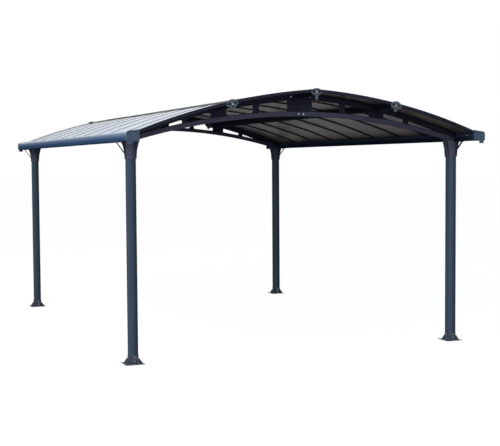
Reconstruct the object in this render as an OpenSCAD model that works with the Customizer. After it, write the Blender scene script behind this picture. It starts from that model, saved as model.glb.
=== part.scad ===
// Open arched-roof gazebo: four posts carry two eave gutters and two arched
// trusses; three purlins run along the roof, and multiwall sheets lie between
// them in glazing bars. Millimetres, +Z up, X across the span, Y along the
// eaves. The origin is on the floor, at the middle of the plan.

/* [Frame] */
// Distance between post centres, across the span
post_span = 3340; // [2400:20:4200]
// Distance between post centres, along the eaves
bay_length = 4280; // [2800:20:5600]
// Length of roof beyond the post centres at each end
overhang = 370; // [240:10:560]
// Height of the gutters' underside above the floor
eave_height = 2000; // [1700:10:2600]
// Height of the roof line at the ridge above the gutters' underside
ridge_rise = 468; // [390:2:562]
// Height of the roof line at the eave above the gutters' underside
eave_rise = 92; // [76:1:111]
// Radius of each half of the arched roof
roof_radius = 5800; // [4600:50:9000]

/* [Posts] */
// Side of the square post
post_w = 80; // [64:1:110]
// Wall of the post tube
post_wall = 2; // [1.5:0.5:4]
// Radius of the post's corners
post_corner = 9; // [5:1:12]
// Width of the shallow groove down each face of the post
post_groove = 10; // [6:1:16]
// Depth of that groove
groove_depth = 1.6; // [0.6:0.1:3]

/* [Feet] */
// Side of the square base flange
foot_w = 180; // [150:2:220]
// Height of a foot's upstands
foot_h = 76; // [60:1:92]
// Height of a foot's gussets
gusset_h = 48; // [38:1:58]
// Thickness of the feet's and heads' plates
plate_t = 4; // [3:0.5:6]
// Diameter of the anchor bolt holes
anchor_d = 11; // [8:0.5:14]
// Distance of an anchor bolt hole from the post's centre
anchor_reach = 68; // [56:1:82]

/* [Post heads] */
// Height of a post head below the gutter
head_h = 155; // [110:5:220]
// How far a head's fan plates flare at the top, each side
head_flare = 32; // [24:1:40]
// Width of the strap that braces the gutter's outer edge
strap_w = 30; // [20:1:40]
// Radius of the bend at the foot of the strap
strap_bend = 110; // [80:2:134]

/* [Gutters] */
// Width of a gutter
gutter_w = 110; // [90:2:140]
// Height of a gutter's outer wall
gutter_h = 85; // [70:1:102]
// Wall of a gutter
gutter_t = 3; // [2:0.5:5]
// Radius of the gutter's rounded outer shoulder
nose_r = 22; // [16:1:28]
// Radius of the gutter's lower outer corner
keel_r = 12; // [8:1:15]
// Distance from a post's centre to its gutter's inner wall
gutter_inset = 30; // [24:1:40]
// Thickness of the end caps along the eaves
cap_t = 14; // [8:1:24]

/* [Roof sheets] */
// Number of sheets between the two trusses
bay_sheets = 8; // [4:1:10]
// Thickness of a multiwall sheet
sheet_t = 8; // [6:1:10]
// Width of a glazing bar
bar_w = 24; // [18:1:30]
// Depth of a glazing bar below the sheets
bar_drop = 12; // [8:1:20]
// Height of the bars' and purlins' caps above the sheets
bar_cap = 2.5; // [2:0.1:4]
// Distance of the side purlins from the ridge
purlin_x = 835; // [690:1:1005]
// Width of a purlin's body
purlin_w = 66; // [54:1:80]
// Depth of an edge rafter below the roof line
rafter_drop = 24; // [20:1:30]
// Width of an edge rafter along the eaves
rafter_w = 28; // [22:1:36]

/* [Trusses] */
// Depth of a truss's upper chord
chord_depth = 38; // [28:1:48]
// Width of a truss's chords along the eaves
chord_w = 50; // [40:1:60]
// Height of the web between the two chords, at the ridge
web_rise = 130; // [108:1:156]
// Depth of a truss's lower chord
tie_depth = 42; // [34:1:52]
// Thickness of the web sheet between the chords
web_t = 6; // [4:1:10]
// Radius of the corners of the web's openings
web_round = 12; // [6:1:16]

/* [Hidden] */

paint = "#2f3a46";
plastic = "#2b3237";
tint = "#6d655c";

// Clearance between pieces that seat on each other
seat = 0.2;
// Facets of the roof's and trusses' arcs, and of small round forms
arc_fn = 720;
round_fn = 48;
eps = 1;

// Main places worked out from the driving sizes
post_x = post_span / 2;
post_y = bay_length / 2;
roof_end = post_y + overhang;
frame_end = roof_end - cap_t;
gutter_in = post_x + gutter_inset;
gutter_out = gutter_in + gutter_w;
sheet_end = gutter_in + 25;
sheet_pitch = bay_length / bay_sheets;
bar_web = 6;
// How far a purlin's top strip reaches past its body, each side, and its edge
purlin_lap = 7;
purlin_edge = 2;
purlin_cap_w = purlin_w + 2 * purlin_lap;
purlin_web = 20;
chord_top = sheet_t + bar_drop + seat;
roof_drop = chord_top + chord_depth;

// Centre of the right-hand half of the roof line: a circle of roof_radius
// through the ridge point and the eave point, with its centre below them.
ridge_point = [0, eave_height + ridge_rise];
eave_point = [gutter_in, eave_height + eave_rise];
half_chord = norm(eave_point - ridge_point) / 2;
chord_dir = (eave_point - ridge_point) / (2 * half_chord);
chord_drop = sqrt(roof_radius * roof_radius - half_chord * half_chord);
roof_centre = (ridge_point + eave_point) / 2 + chord_drop * [chord_dir.y, -chord_dir.x];

// Height of the roof line, lowered radially by drop, at a place across the span
function roof_z(x, drop = 0) =
  roof_centre.y + sqrt(pow(roof_radius - drop, 2) - pow(abs(x) - roof_centre.x, 2));
// Angle about the roof's centre of a place across the span
function roof_angle(x) = acos((x - roof_centre.x) / roof_radius);
// Slope of the roof line at a place across the span, in degrees
function roof_slope(x) = 90 - roof_angle(x);
// Angle about the roof's centre that covers a width along the roof
function width_angle(w) = w / roof_radius * 180 / PI;

// Lower chord: one circle through its seats on the post heads and its crown
tie_rise = ridge_rise - roof_drop - web_rise - tie_depth;
tie_radius = (post_x * post_x + tie_rise * tie_rise) / (2 * tie_rise);
tie_centre = [0, eave_height + seat + tie_rise - tie_radius];
function tie_z(x, lift = 0) =
  tie_centre.y + sqrt(pow(tie_radius + lift, 2) - x * x);

// A ring segment of the right half of the roof: the profile is drawn with
// x as height above the roof line and y along the eaves.
module roof_sweep(a0, a1) {
  translate([roof_centre.x, 0, roof_centre.y])
    rotate([90, 0, 0])
      rotate([0, 0, a0])
        rotate_extrude(angle = a1 - a0, $fn = arc_fn)
          translate([roof_radius, 0])
            children();
}

// The children on the right half, the left half, or both
module on_side(side) {
  if (side > 0) children();
  else mirror([1, 0, 0]) children();
}

module both_sides() {
  for (side = [-1, 1]) on_side(side) children();
}

// The children at the near end (-1) or the far end (1)
module at_end(end) {
  if (end < 0) children();
  else mirror([0, 1, 0]) children();
}

// A square outline with its corners rounded to a radius
module round_square(side, r) {
  square([side - 2 * r, side], center = true);
  square([side, side - 2 * r], center = true);
  for (x = [-1, 1], y = [-1, 1])
    translate([x, y] * (side / 2 - r)) circle(r, $fn = round_fn);
}

// Ends of the lower and the upper strip of roof, as angles about its centre,
// with a distance left free beside the purlins' centres
function lower_strip(clear, outer) =
  [roof_angle(outer), roof_angle(purlin_x) - width_angle(clear)];
function upper_strip(clear) =
  [roof_angle(purlin_x) + width_angle(clear), roof_angle(0) - width_angle(clear)];

// ---- Posts ----

module post_outline(inset) {
  round_square(post_w - 2 * inset, post_corner - inset);
}

module post() {
  color(paint)
    translate([post_x, -post_y, plate_t + seat])
      linear_extrude(eave_height - 2 * plate_t - 2 * seat)
        difference() {
          post_outline(0);
          post_outline(post_wall);
          for (turn = [0:90:270])
            rotate(turn)
              translate([post_w / 2, 0])
                square([2 * groove_depth, post_groove], center = true);
        }
}

// ---- Feet ----

// Corner radius of a foot's flange, and how far its gussets reach outwards
flange_r = 8;
gusset_reach = foot_w / 2 - 10;
gusset_toe = 5;

// Pieces of one face of a foot: an upstand against the post and two gussets
module foot_face() {
  face = post_w / 2 + seat;
  upstand_w = post_w - 2 * post_corner;
  translate([face, -upstand_w / 2, plate_t / 2])
    cube([plate_t, upstand_w, foot_h - plate_t / 2]);
  for (y = [-1, 1])
    translate([0, y * (upstand_w / 2 - plate_t / 2) + plate_t / 2, 0])
      rotate([90, 0, 0])
        linear_extrude(plate_t)
          polygon([
            [face + plate_t / 2, plate_t / 2],
            [gusset_reach, plate_t / 2],
            [gusset_reach, plate_t + gusset_toe],
            [face + plate_t + 8, gusset_h],
            [face + plate_t / 2, gusset_h]]);
}

module foot() {
  color(paint)
    translate([post_x, -post_y, 0])
      difference() {
        union() {
          linear_extrude(plate_t) round_square(foot_w, flange_r);
          for (turn = [0:90:270]) rotate([0, 0, turn]) foot_face();
        }
        for (turn = [0:90:270])
          rotate([0, 0, turn])
            translate([anchor_reach, 0, -eps])
              cylinder(d = anchor_d, h = plate_t + 2 * eps, $fn = round_fn);
      }
}

// ---- Post heads ----

// How far the fan plates stand past the post's sides at the bottom
fan_side = 3;
function half_seat() = post_w / 2 + fan_side + head_flare;

// A fan plate on the near or far face of the post
module fan_plate() {
  half = post_w / 2 + fan_side;
  translate([0, -post_w / 2 - seat, 0])
    rotate([90, 0, 0])
      linear_extrude(plate_t)
        polygon([
          [-half, -head_h],
          [half, -head_h],
          [half + head_flare * 0.22, -head_h * 0.45],
          [half + head_flare * 0.56, -head_h * 0.18],
          [half + head_flare, 0],
          [-half - head_flare, 0],
          [-half - head_flare * 0.56, -head_h * 0.18],
          [-half - head_flare * 0.22, -head_h * 0.45]]);
}

// The strap from the post out to the gutter's outer edge: a bend that starts
// upright at the foot of the head, and a straight that leans out from it
strap_rise = head_h - plate_t / 2;
strap_out = gutter_out - post_x - 12 - post_w / 2 - seat;
strap_lean = let (over = strap_out - strap_bend)
  atan2(over, strap_rise) + asin(strap_bend / norm([over, strap_rise]));
function bend_edge(r) =
  [for (i = [0:6]) let (a = strap_lean * i / 6)
    [strap_bend - r * cos(a), r * sin(a)]];
function strap_end(r) = strap_bend - r * cos(strap_lean)
  + (strap_rise - r * sin(strap_lean)) * tan(strap_lean);

module strap_outline() {
  inner = bend_edge(strap_bend - plate_t);
  polygon([
    each bend_edge(strap_bend),
    [strap_end(strap_bend), strap_rise],
    [strap_end(strap_bend - plate_t), strap_rise],
    for (i = [6:-1:0]) inner[i]]);
}

module head() {
  face = post_w / 2 + seat;
  seat_out = face + strap_end(strap_bend - plate_t);
  color(paint)
    translate([post_x, -post_y, eave_height])
      union() {
        translate([-half_seat(), -post_w / 2 - plate_t - seat, -plate_t])
          cube([half_seat() + seat_out, post_w + 2 * (plate_t + seat), plate_t]);
        fan_plate();
        mirror([0, 1, 0]) fan_plate();
        // The strap out to the gutter's outer edge, and its tab on the post
        translate([0, strap_w / 2, 0])
          rotate([90, 0, 0])
            linear_extrude(strap_w) {
              translate([face, -head_h]) strap_outline();
              translate([face, -head_h]) square([plate_t, head_h - plate_t / 2]);
            }
        // The curved gusset under the truss
        translate([0, strap_w / 2, 0])
          rotate([90, 0, 0])
            linear_extrude(strap_w)
              polygon([
                [-face, -head_h],
                [-face, -plate_t / 2],
                [-half_seat(), -plate_t / 2],
                for (i = [0:8])
                  [-half_seat() + (half_seat() - face - plate_t) * sin(i * 90 / 8),
                   -plate_t - (head_h - plate_t) * (1 - cos(i * 90 / 8))]]);
      }
}

// ---- Gutters ----

// Outline of a gutter, drawn in from its outside by an inset: x outwards from
// its inner wall, y up from its underside, with two rounded outer corners
module gutter_outline(inset) {
  shoulder = gutter_w - nose_r;
  translate([inset, inset]) square([shoulder - inset, gutter_h - 2 * inset]);
  translate([shoulder, inset]) square([nose_r - keel_r, gutter_h - nose_r - inset]);
  translate([gutter_w - keel_r, keel_r])
    square([keel_r - inset, gutter_h - nose_r - keel_r]);
  translate([shoulder, gutter_h - nose_r]) circle(nose_r - inset, $fn = round_fn);
  translate([gutter_w - keel_r, keel_r]) circle(keel_r - inset, $fn = round_fn);
}

// Section of a gutter: its wall, open over the inner wall where the roof enters
module gutter_section() {
  inner_h = roof_z(gutter_in, chord_top) - eave_height - seat;
  fall = tan(roof_slope(gutter_in));
  mouth = gutter_w - nose_r - 8;
  difference() {
    gutter_outline(0);
    gutter_outline(gutter_t);
    polygon([
      [-eps, inner_h + eps * fall],
      [10, inner_h - 10 * fall],
      [mouth, inner_h - 10 * fall],
      [mouth, gutter_h + eps],
      [-eps, gutter_h + eps]]);
  }
}

module gutter() {
  color(paint)
    translate([gutter_in, frame_end, eave_height])
      rotate([90, 0, 0])
        linear_extrude(2 * frame_end) gutter_section();
}

// End cap of a gutter: how far it laps the section, its rim and its panel, and
// the outlet that hangs below it
cap_lap = 4;
cap_rim = 7;
cap_panel = 3;
outlet_x = 58;
outlet_w = 42;
outlet_drop = 26;

module gutter_cap() {
  lift = roof_z(gutter_in) - eave_height + 10;
  color(plastic)
    translate([gutter_in, -frame_end - seat, eave_height])
      rotate([90, 0, 0])
        difference() {
          linear_extrude(cap_t - seat) {
            gutter_outline(-cap_lap);
            // The lip over the roof's corner
            polygon([
              [-cap_lap - 2, -cap_lap],
              [gutter_w - nose_r, -cap_lap],
              [gutter_w - nose_r, gutter_h + cap_lap],
              [gutter_w * 0.4, gutter_h + 9],
              [-cap_lap - 2, lift]]);
            translate([outlet_x, -outlet_drop]) square([outlet_w, outlet_drop]);
          }
          translate([0, 0, cap_t - seat - cap_panel])
            linear_extrude(cap_panel + eps) gutter_outline(cap_rim);
          // The bore of the outlet
          translate([outlet_x + outlet_w / 2, -outlet_drop - eps, (cap_t - seat) / 2])
            rotate([-90, 0, 0])
              cylinder(d = cap_t - seat - 6, h = outlet_drop - 2, $fn = round_fn);
        }
}

// ---- Purlins ----

// A point turned clockwise about the origin
function turned(p, a) = [p.x * cos(a) + p.y * sin(a), p.y * cos(a) - p.x * sin(a)];
// The ridge purlin's two halves turn down to lie square to the sheets
function purlin_tilt(x) = x == 0 ? roof_slope(0) : 0;

// How far in a purlin's top strip slopes, and how far its crown stands above
// the bars' caps
purlin_slope = 12;
purlin_crown = 5;

// Section of a purlin: x across it, y up from the roof line
module purlin_section(tilt) {
  half = purlin_w / 2;
  cap = purlin_cap_w / 2;
  right = [
    for (p = [
      [half, -roof_drop],
      [half, -sheet_t - seat],
      [purlin_web / 2, -sheet_t - seat],
      [purlin_web / 2, seat],
      [cap, seat],
      [cap, seat + purlin_edge],
      [cap - purlin_slope, bar_cap + purlin_crown]])
      turned(p, tilt)];
  last = len(right) - 1;
  polygon([
    [0, -roof_drop / cos(tilt)],
    each right,
    for (i = [last:-1:0]) [-right[i].x, right[i].y]]);
}

module at_purlin(x) {
  translate([x, 0, roof_z(x)])
    rotate([0, roof_slope(abs(x)) * sign(x), 0])
      rotate([90, 0, 0])
        children();
}

module purlin(x) {
  color(paint)
    at_purlin(x)
      translate([0, 0, -frame_end])
        linear_extrude(2 * frame_end) purlin_section(purlin_tilt(x));
}

// End cap of a purlin: a shallow dome over two struts that meet in a stem, with
// a round boss between them. Heights are taken from the boss's centre.
dome_half = 46;
dome_r = 50;
dome_drop = 12;
boss_r = 10;
bore_r = 6.5;
stem_half = 11;
pocket = 5;
hub = -26;

module purlin_cap(x) {
  body = cap_t - seat - 2;
  edge = sqrt(dome_r * dome_r - dome_half * dome_half) - dome_drop;
  foot = -roof_drop - (x == 0 ? 34 : 12) - hub;
  neck = -roof_drop + 2 - hub;
  color(plastic)
    at_purlin(x)
      translate([0, hub, frame_end + seat])
        difference() {
          union() {
            intersection() {
              translate([0, -dome_drop, 0]) cylinder(r = dome_r, h = body, $fn = 96);
              translate([-dome_half, edge - 4, 0]) cube([2 * dome_half, dome_r, body]);
            }
            linear_extrude(body)
              polygon([
                [-dome_half, edge - 2], [dome_half, edge - 2], [dome_half, -4],
                [stem_half, neck], [stem_half, foot],
                [-stem_half, foot], [-stem_half, neck], [-dome_half, -4]]);
            cylinder(r = boss_r, h = cap_t - seat, $fn = round_fn);
          }
          // The hollows beside the boss and between the struts
          translate([0, 0, body - pocket])
            linear_extrude(2 * pocket) {
              for (side = [-1, 1])
                polygon([
                  [side * 16, 20], [side * 38, 8], [side * 38, 2], [side * 15, -8]]);
              polygon([[-9, -15], [9, -15], [3, neck + 3], [-3, neck + 3]]);
            }
          // The recess for the bolt's head
          translate([0, 0, cap_t - seat - pocket])
            cylinder(r = bore_r, h = 2 * pocket, $fn = round_fn);
        }
}

// ---- Trusses ----

module truss_upper_chord() {
  // A chord's ends are radial, so they near a purlin's side as they go down
  clear = purlin_w / 2 + seat + roof_drop * purlin_w / 2 / roof_radius;
  lower = lower_strip(clear, gutter_in - seat);
  upper = upper_strip(clear);
  color(paint)
    translate([0, -post_y, 0])
      both_sides() {
        roof_sweep(lower[0], lower[1]) chord_section();
        roof_sweep(upper[0], upper[1]) chord_section();
      }
}

module chord_section() {
  translate([-roof_drop, -chord_w / 2]) square([chord_depth, chord_w]);
}

// The space under the upper chord's underside, on the right half
module under_roof(extra) {
  translate([roof_centre.x, 0, roof_centre.y])
    rotate([90, 0, 0])
      rotate([0, 0, roof_angle(0)])
        cylinder(r = roof_radius - roof_drop - extra, h = chord_w + 2 * eps,
                 center = true, $fn = arc_fn);
}

// Lower chord: two halves that butt at the crown
module truss_lower_chord() {
  reach = acos((gutter_in - seat) / (tie_radius + tie_depth));
  crown = 90 - atan(seat / 2 / tie_radius);
  color(paint)
    translate([0, -post_y, 0])
      both_sides()
        intersection() {
          translate([tie_centre.x, 0, tie_centre.y])
            rotate([90, 0, 0])
              rotate([0, 0, reach])
                rotate_extrude(angle = crown - reach, $fn = arc_fn)
                  translate([tie_radius, -chord_w / 2]) square([tie_depth, chord_w]);
          under_roof(seat);
          translate([0, -chord_w, eave_height + seat])
            cube([gutter_in - seat, 2 * chord_w, ridge_rise]);
        }
}

// Splice plate over the butt of the lower chord's halves, on its outer face
splice_w = 92;
splice_edge = 4;
splice_bolt_d = 7;
module truss_splice() {
  sink = tie_z(0) - tie_z(splice_w / 2);
  color(paint)
    translate([0, -post_y - chord_w / 2 - seat, 0])
      rotate([90, 0, 0])
        linear_extrude(plate_t)
          difference() {
            translate([-splice_w / 2, tie_z(0) + splice_edge])
              square([splice_w, tie_depth - sink - 2 * splice_edge]);
            for (x = [-1, 1])
              translate([x * splice_w * 0.28, tie_z(0) + (tie_depth - sink) / 2])
                circle(d = splice_bolt_d, $fn = round_fn);
          }
}

// Outline of a polygon with its corners rounded to radius r
function unit(v) = v / norm(v);
function corner_arc(a, p, b, r) =
  let (u = unit(a - p), w = unit(b - p), half = acos(u * w) / 2,
       c = p + unit(u + w) * r / sin(half),
       s = atan2((u * r / tan(half) + p - c).y, (u * r / tan(half) + p - c).x),
       turn = 180 - 2 * half)
  [for (i = [0:5]) c + r * [cos(s + turn * i / 5), sin(s + turn * i / 5)]];
function rounded(pts, r) =
  [for (i = [0:len(pts) - 1])
     each corner_arc(pts[(i + len(pts) - 1) % len(pts)], pts[i],
                     pts[(i + 1) % len(pts)], r)];

// Place across the span where the web is only a given height: there a circle
// at that height above the lower chord meets the upper chord's underside
function web_place(height) =
  let (r = roof_radius - roof_drop, q = tie_radius + tie_depth + height,
       to = tie_centre - roof_centre, d = norm(to),
       a = (d * d + r * r - q * q) / (2 * d), h = sqrt(r * r - a * a))
  (roof_centre + to * a / d + [-to.y, to.x] * h / d).x;

// The web's openings on one half, as [inner edge, outer edge] across the span:
// two up to the side purlin, and two from there to where the web grows thin
web_lip = 6;
web_least = 14;
web_tip = web_place(web_least);
web_end = web_place(web_least - 4);
web_outer = web_tip - purlin_x;
web_openings = [
  [purlin_x * 0.155, purlin_x * 0.50],
  [purlin_x * 0.575, purlin_x * 0.895],
  [purlin_x + web_outer * 0.10, purlin_x + web_outer * 0.44],
  [purlin_x + web_outer * 0.53, purlin_x + web_outer * 0.94]];

module web_opening(x0, x1) {
  outline = [
    [x0, tie_z(x0, tie_depth) + web_lip],
    [x1, tie_z(x1, tie_depth) + web_lip],
    [x1, roof_z(x1, roof_drop) - web_lip],
    [x0, roof_z(x0, roof_drop) - web_lip]];
  height = min(outline[2].y - outline[1].y, outline[3].y - outline[0].y);
  rotate([90, 0, 0])
    linear_extrude(2 * web_t, center = true)
      polygon(rounded(outline, min(web_round, height * 0.45)));
}

module truss_web() {
  low = tie_z(web_end - 4, tie_depth + seat);
  color(paint)
    translate([0, -post_y, 0])
      difference() {
        intersection() {
          translate([-web_end, -web_t / 2, low])
            cube([2 * web_end, web_t, eave_height + 2 * ridge_rise - low]);
          for (side = [-1, 1])
            on_side(side)
              intersection() {
                under_roof(seat);
                translate([0, -web_t, eave_height])
                  cube([2 * web_end, 2 * web_t, 2 * ridge_rise]);
              }
        }
        translate([tie_centre.x, 0, tie_centre.y])
          rotate([90, 0, 0])
            cylinder(r = tie_radius + tie_depth + seat, h = 2 * web_t,
                     center = true, $fn = arc_fn);
        both_sides()
          for (span = web_openings) web_opening(span[0], span[1]);
      }
}

// ---- Roof edge, bars and sheets ----

// Wall of an edge rafter, and how far its lip stands above the bars' caps
rafter_wall = 6;
rafter_lip = 1;

// Section of an edge rafter: x above the roof line, y along the eaves
module rafter_section() {
  lip = bar_cap + rafter_lip;
  translate([0, frame_end])
    polygon([
      [lip, 0],
      [lip, -rafter_w],
      [seat, -rafter_w],
      [seat, -rafter_wall],
      [-sheet_t - seat, -rafter_wall],
      [-sheet_t - seat, -rafter_w],
      [-rafter_drop, -rafter_w],
      [-rafter_drop, 0]]);
}

module edge_rafter() {
  lower = lower_strip(purlin_cap_w / 2 + seat, gutter_in - seat);
  upper = upper_strip(purlin_cap_w / 2 + seat);
  color(paint)
    both_sides() {
      roof_sweep(lower[0], lower[1]) rafter_section();
      roof_sweep(upper[0], upper[1]) rafter_section();
    }
}

// Section of a glazing bar: a foot under the sheets, a web and a cap
module bar_section() {
  foot = bar_w / 2;
  polygon([
    [-sheet_t - bar_drop, -foot * 0.55],
    [-sheet_t - bar_drop, foot * 0.55],
    [-sheet_t - 6, foot],
    [-sheet_t - seat, foot],
    [-sheet_t - seat, bar_web / 2],
    [seat, bar_web / 2],
    [seat, foot],
    [seat + 1, foot],
    [bar_cap, foot - 4],
    [bar_cap, -foot + 4],
    [seat + 1, -foot],
    [seat, -foot],
    [seat, -bar_web / 2],
    [-sheet_t - seat, -bar_web / 2],
    [-sheet_t - seat, -foot],
    [-sheet_t - 6, -foot]]);
}

module bars(angles) {
  color(paint)
    for (i = [0:bay_sheets])
      translate([0, i * sheet_pitch - post_y, 0])
        roof_sweep(angles[0], angles[1]) bar_section();
}

// The edges of every sheet along the eaves, from near to far
joint_gap = bar_web / 2 + 2 * seat;
sheet_starts = [
  rafter_wall + 2 * seat - frame_end,
  for (i = [0:bay_sheets]) i * sheet_pitch - post_y + joint_gap];
sheet_stops = [
  for (i = [0:bay_sheets]) i * sheet_pitch - post_y - joint_gap,
  frame_end - rafter_wall - 2 * seat];

module sheets(angles) {
  color(tint)
    for (i = [0:bay_sheets + 1])
      roof_sweep(angles[0], angles[1])
        translate([-sheet_t, sheet_starts[i]])
          square([sheet_t, sheet_stops[i] - sheet_starts[i]]);
}

bar_lower = lower_strip(purlin_cap_w / 2 + seat, sheet_end);
bar_upper = upper_strip(purlin_cap_w / 2 + seat);
sheet_lower = lower_strip(purlin_web / 2 + 2, sheet_end);
sheet_upper = upper_strip(purlin_web / 2 + 2);

// ---- Assembly ----

on_side(-1) post();  // near_left_post
post();  // near_right_post
at_end(1) on_side(-1) post();  // far_left_post
at_end(1) post();  // far_right_post

on_side(-1) foot();  // near_left_foot
foot();  // near_right_foot
at_end(1) on_side(-1) foot();  // far_left_foot
at_end(1) foot();  // far_right_foot

on_side(-1) head();  // near_left_head
head();  // near_right_head
at_end(1) on_side(-1) head();  // far_left_head
at_end(1) head();  // far_right_head

on_side(-1) gutter();  // left_gutter
gutter();  // right_gutter
on_side(-1) gutter_cap();  // near_left_gutter_cap
gutter_cap();  // near_right_gutter_cap
at_end(1) on_side(-1) gutter_cap();  // far_left_gutter_cap
at_end(1) gutter_cap();  // far_right_gutter_cap

purlin(-purlin_x);  // left_purlin
purlin(0);  // ridge_purlin
purlin(purlin_x);  // right_purlin
purlin_cap(-purlin_x);  // near_left_purlin_cap
purlin_cap(0);  // near_ridge_cap
purlin_cap(purlin_x);  // near_right_purlin_cap
at_end(1) purlin_cap(-purlin_x);  // far_left_purlin_cap
at_end(1) purlin_cap(0);  // far_ridge_cap
at_end(1) purlin_cap(purlin_x);  // far_right_purlin_cap

truss_upper_chord();  // near_truss_upper_chord
truss_lower_chord();  // near_truss_lower_chord
truss_web();  // near_truss_web
truss_splice();  // near_truss_splice
at_end(1) truss_upper_chord();  // far_truss_upper_chord
at_end(1) truss_lower_chord();  // far_truss_lower_chord
at_end(1) truss_web();  // far_truss_web
at_end(1) truss_splice();  // far_truss_splice

at_end(1) edge_rafter();  // near_edge_rafter
edge_rafter();  // far_edge_rafter

on_side(-1) bars(bar_lower);  // left_lower_bars
on_side(-1) bars(bar_upper);  // left_upper_bars
bars(bar_upper);  // right_upper_bars
bars(bar_lower);  // right_lower_bars

on_side(-1) sheets(sheet_lower);  // left_lower_sheets
on_side(-1) sheets(sheet_upper);  // left_upper_sheets
sheets(sheet_upper);  // right_upper_sheets
sheets(sheet_lower);  // right_lower_sheets
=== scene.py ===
# %% [markdown]
# # An open arched-roof gazebo
# This lesson dresses a finished metal frame. The frame itself comes from the
# library as exact parts: posts, gutters, trusses, purlins and roof sheets.
# Here we give those parts their real finishes, and add the small fittings
# that a drawing of the frame leaves out: bolts, washers, rubber seals and
# softened mouldings. The first cell loads the frame.

# %% Load the frame
import math

import bmesh
import bpy
from mathutils import Matrix, Vector


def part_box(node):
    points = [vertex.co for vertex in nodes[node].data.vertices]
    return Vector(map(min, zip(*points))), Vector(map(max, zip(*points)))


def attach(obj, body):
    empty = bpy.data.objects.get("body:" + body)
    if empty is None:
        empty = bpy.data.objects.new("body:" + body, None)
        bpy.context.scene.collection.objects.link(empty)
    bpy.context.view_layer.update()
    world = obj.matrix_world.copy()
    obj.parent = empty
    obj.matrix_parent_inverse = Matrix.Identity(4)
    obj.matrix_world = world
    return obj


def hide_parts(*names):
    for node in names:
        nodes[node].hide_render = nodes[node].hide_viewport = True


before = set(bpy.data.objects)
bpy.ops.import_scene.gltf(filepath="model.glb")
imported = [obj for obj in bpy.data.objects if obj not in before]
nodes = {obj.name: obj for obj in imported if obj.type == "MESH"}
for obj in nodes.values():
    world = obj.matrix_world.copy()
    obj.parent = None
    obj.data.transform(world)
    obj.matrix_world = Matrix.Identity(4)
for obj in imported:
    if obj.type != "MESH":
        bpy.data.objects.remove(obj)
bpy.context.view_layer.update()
print("nodes:", len(nodes))

# %% [markdown]
# ## Camera
# A wide garden structure is shown best from just outside one corner, at eye
# height, so that the near truss is seen face on and the roof is seen along
# its slope. The view is set by a turn about the vertical, a small tilt down
# and a tiny roll. A little sideways shift keeps the posts upright while the
# structure sits in the middle of the frame. The focal length is in the same
# unit as the image's width, so their share of the sensor gives the lens.

# %% Camera
image_width = 500
focal_length = 1070.44
eye = Vector((-4.3927, -11.3665, 1.8017))
turn, tilt, roll = 0.3511, -0.0556, -0.0090

camera_data = bpy.data.cameras.new("camera")
camera_data.sensor_width = 36.0
camera_data.lens = focal_length / image_width * camera_data.sensor_width
camera_data.shift_x = 0.10
camera = bpy.data.objects.new("camera", camera_data)
camera.matrix_world = (Matrix.Translation(eye)
                       @ Matrix.Rotation(-turn, 4, "Z")
                       @ Matrix.Rotation(math.pi / 2 + tilt, 4, "X")
                       @ Matrix.Rotation(roll, 4, "Z"))
bpy.context.scene.collection.objects.link(camera)
bpy.context.scene.camera = camera
print("lens", round(camera_data.lens, 1), "mm")

# %% [markdown]
# ## Helpers for materials
# A procedural material is a small network of nodes. Short helpers keep the
# cells that follow readable. One adds a node and fills its inputs, each with
# a plain value or with a link from another node. The others do the same for
# the kinds of node that come up most, and hand back the socket to link on,
# so that a network reads from its texture to its shader.

# %% Helpers for nodes
def fill(tree, node, values):
    """Fills a node's inputs, each with a link or with a plain value."""
    for name, value in values.items():
        socket = node.inputs[name]
        if isinstance(value, bpy.types.NodeSocket):
            tree.links.new(value, socket)
        elif socket.type == "RGBA":
            socket.default_value = (*value, 1.0)
        else:
            socket.default_value = value


def add(tree, kind, values=None, **settings):
    """Adds a node of a kind, with its settings and its inputs filled."""
    node = tree.nodes.new(kind)
    for name, value in settings.items():
        setattr(node, name, value)
    fill(tree, node, values or {})
    return node


def maths(tree, operation, *values, clamp=False):
    """The answer of a Math node."""
    return add(tree, "ShaderNodeMath", dict(enumerate(values)), operation=operation,
               use_clamp=clamp).outputs[0]


def ranged(tree, value, low=0.0, high=1.0, to_low=0.0, to_high=1.0, **settings):
    """A value moved from one range into another, and kept inside it."""
    sockets = {"Value": value, "From Min": low, "From Max": high,
               "To Min": to_low, "To Max": to_high}
    return add(tree, "ShaderNodeMapRange", sockets, **settings).outputs["Result"]


def noise(tree, where, scale, detail, rough=0.5):
    """A soft random pattern over the surface."""
    sockets = {"Vector": where, "Scale": scale, "Detail": detail, "Roughness": rough}
    return add(tree, "ShaderNodeTexNoise", sockets).outputs["Fac"]


def laid_over(tree, under, over, mask):
    """A colour with another laid over it where a mask says."""
    return add(tree, "ShaderNodeMix", {"A": under, "B": over, "Factor": mask},
               data_type="RGBA").outputs["Result"]


def bumped(tree, height, strength, distance):
    """A surface direction that follows a height."""
    sockets = {"Height": height, "Strength": strength, "Distance": distance}
    return add(tree, "ShaderNodeBump", sockets).outputs["Normal"]


def axes_of(tree, vector):
    """The X, Y and Z of a vector."""
    return add(tree, "ShaderNodeSeparateXYZ", {"Vector": vector}).outputs


def facing_of(tree):
    """The X, Y and Z of the way that the surface faces."""
    return axes_of(tree, add(tree, "ShaderNodeNewGeometry").outputs["Normal"])


print("helpers for nodes ready")

# %% Helpers for materials and groups
FLOAT, COLOUR, VECTOR = "NodeSocketFloat", "NodeSocketColor", "NodeSocketVector"


def start_material(name):
    """A material with an empty network, its surface shader and coordinates."""
    made = bpy.data.materials.new(name)
    made.use_nodes = True
    tree = made.node_tree
    tree.nodes.clear()
    shader = add(tree, "ShaderNodeBsdfPrincipled")
    add(tree, "ShaderNodeOutputMaterial", {"Surface": shader.outputs["BSDF"]})
    where = add(tree, "ShaderNodeTexCoord").outputs["Object"]
    return made, tree, shader, where


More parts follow.
